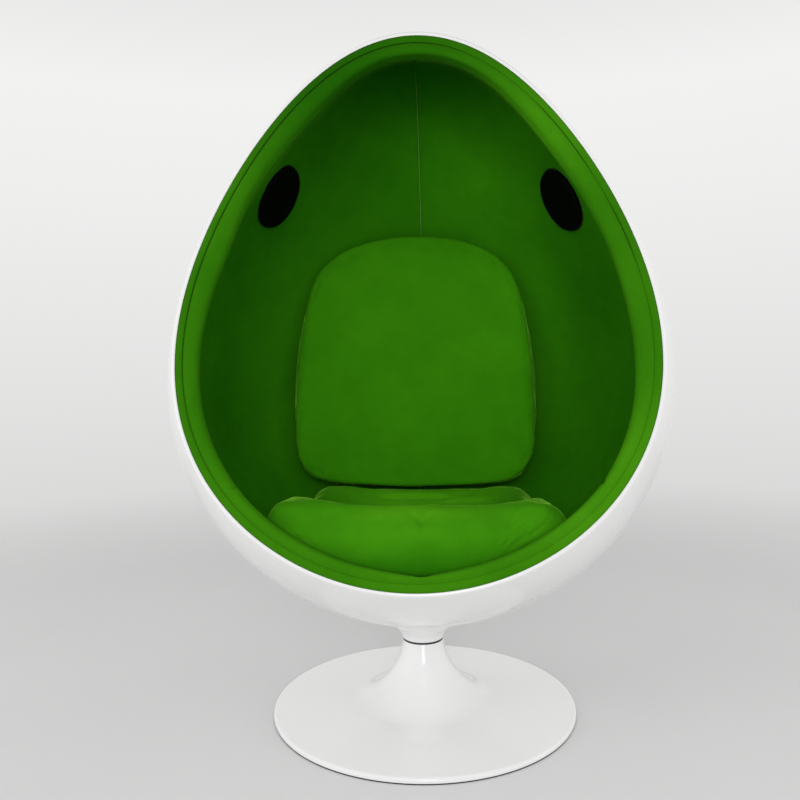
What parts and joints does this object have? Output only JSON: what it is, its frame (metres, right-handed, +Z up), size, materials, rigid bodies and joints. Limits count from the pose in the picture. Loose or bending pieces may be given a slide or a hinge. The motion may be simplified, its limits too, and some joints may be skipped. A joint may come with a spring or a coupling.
{
  "type": "pod chair",
  "caption": "Swivel lounge chair: a tilted egg-shaped shell on a trumpet pedestal, lined with velvet, with loose seat and back cushions and built-in speakers.",
  "frame": {"origin": "on the floor, on the swivel axis, at the middle of the pedestal's foot", "axes": "+Z up along the swivel axis, -Y out of the opening towards the sitter's knees, +X to the right as seen from the front"},
  "size_m": [0.9456, 0.8069, 1.3147],
  "materials": {
    "shell_white": "white gel coat, polished to a high gloss",
    "pedestal_white": "white gloss lacquer on cast metal",
    "gasket_black": "matt black rubber",
    "washer_black": "black acetal",
    "bush_nylon": "natural nylon",
    "steel": "zinc-plated steel",
    "plywood": "raw plywood",
    "mdf_black": "fibreboard painted matt black",
    "foam": "open-cell upholstery foam",
    "velvet_lining": "short-pile green velvet, stretched over foam",
    "velvet_rim": "short-pile green velvet on a padded edge",
    "velvet_seat": "short-pile green velvet with soft creases",
    "velvet_back": "short-pile green velvet",
    "speaker_black": "satin black coating",
    "ferrite": "sintered ferrite",
    "cone_black": "matt black pressed fibre",
    "lead_black": "black flexible sheath",
    "panel_black": "fine-textured black plastic",
    "circuit_board": "green circuit board",
    "knob_black": "satin black plastic",
    "button_grey": "satin grey plastic"
  },
  "bodies": {
    "foot": {"pedestal": "pedestal_white", "edge_gasket": "gasket_black", "ballast_plate": "steel", "ballast_screws": "steel", "column": "steel", "column_bolts": "steel", "thrust_plate": "steel", "thrust_washer": "washer_black", "upper_bush": "bush_nylon", "lower_bush": "bush_nylon"},
    "pod": {"shell": "shell_white", "shell_collar": "pedestal_white", "spindle": "steel", "retaining_washer": "steel", "retaining_bolt": "steel", "seat_board": "plywood", "mount_bolts": "steel", "lining_foam": "foam", "lining_left": "velvet_lining", "lining_right": "velvet_lining", "rim_edge_band": "velvet_rim", "rim_roll": "velvet_rim", "seat_cushion": "velvet_seat", "back_cushion": "velvet_back", "speaker_ring_left": "mdf_black", "speaker_basket_left": "speaker_black", "speaker_magnet_left": "ferrite", "speaker_cone_left": "cone_black", "speaker_grille_left": "speaker_black", "speaker_ring_right": "mdf_black", "speaker_basket_right": "speaker_black", "speaker_magnet_right": "ferrite", "speaker_cone_right": "cone_black", "speaker_grille_right": "speaker_black", "speaker_screws": "steel", "speaker_lead_left": "lead_black", "speaker_lead_right": "lead_black", "amplifier_housing": "panel_black", "amplifier_board": "circuit_board", "control_panel": "panel_black", "panel_screws": "steel", "volume_pot": "steel", "power_switch": "panel_black", "audio_socket": "steel", "power_inlet": "panel_black"},
    "knob": {"volume_knob": "knob_black", "knob_shaft": "steel"},
    "button": {"power_button": "button_grey"}
  },
  "joints": [
    {"name": "swivel", "type": "hinge", "parent": "foot", "child": "pod", "pos_m": [0, 0, 0.1343], "axis": [0, 0, 1], "continuous": true},
    {"name": "volume", "type": "hinge", "parent": "pod", "child": "knob", "pos_m": [0.42488, 0.00136, 0.69168], "axis": [-0.9877, 0.053, -0.147], "range_deg": [-140, 140]},
    {"name": "power_press", "type": "slide", "parent": "pod", "child": "button", "axis": [0.9877, -0.053, 0.147], "range_m": [0, 0.0015], "stiffness_N_per_m": 800}
  ]
}
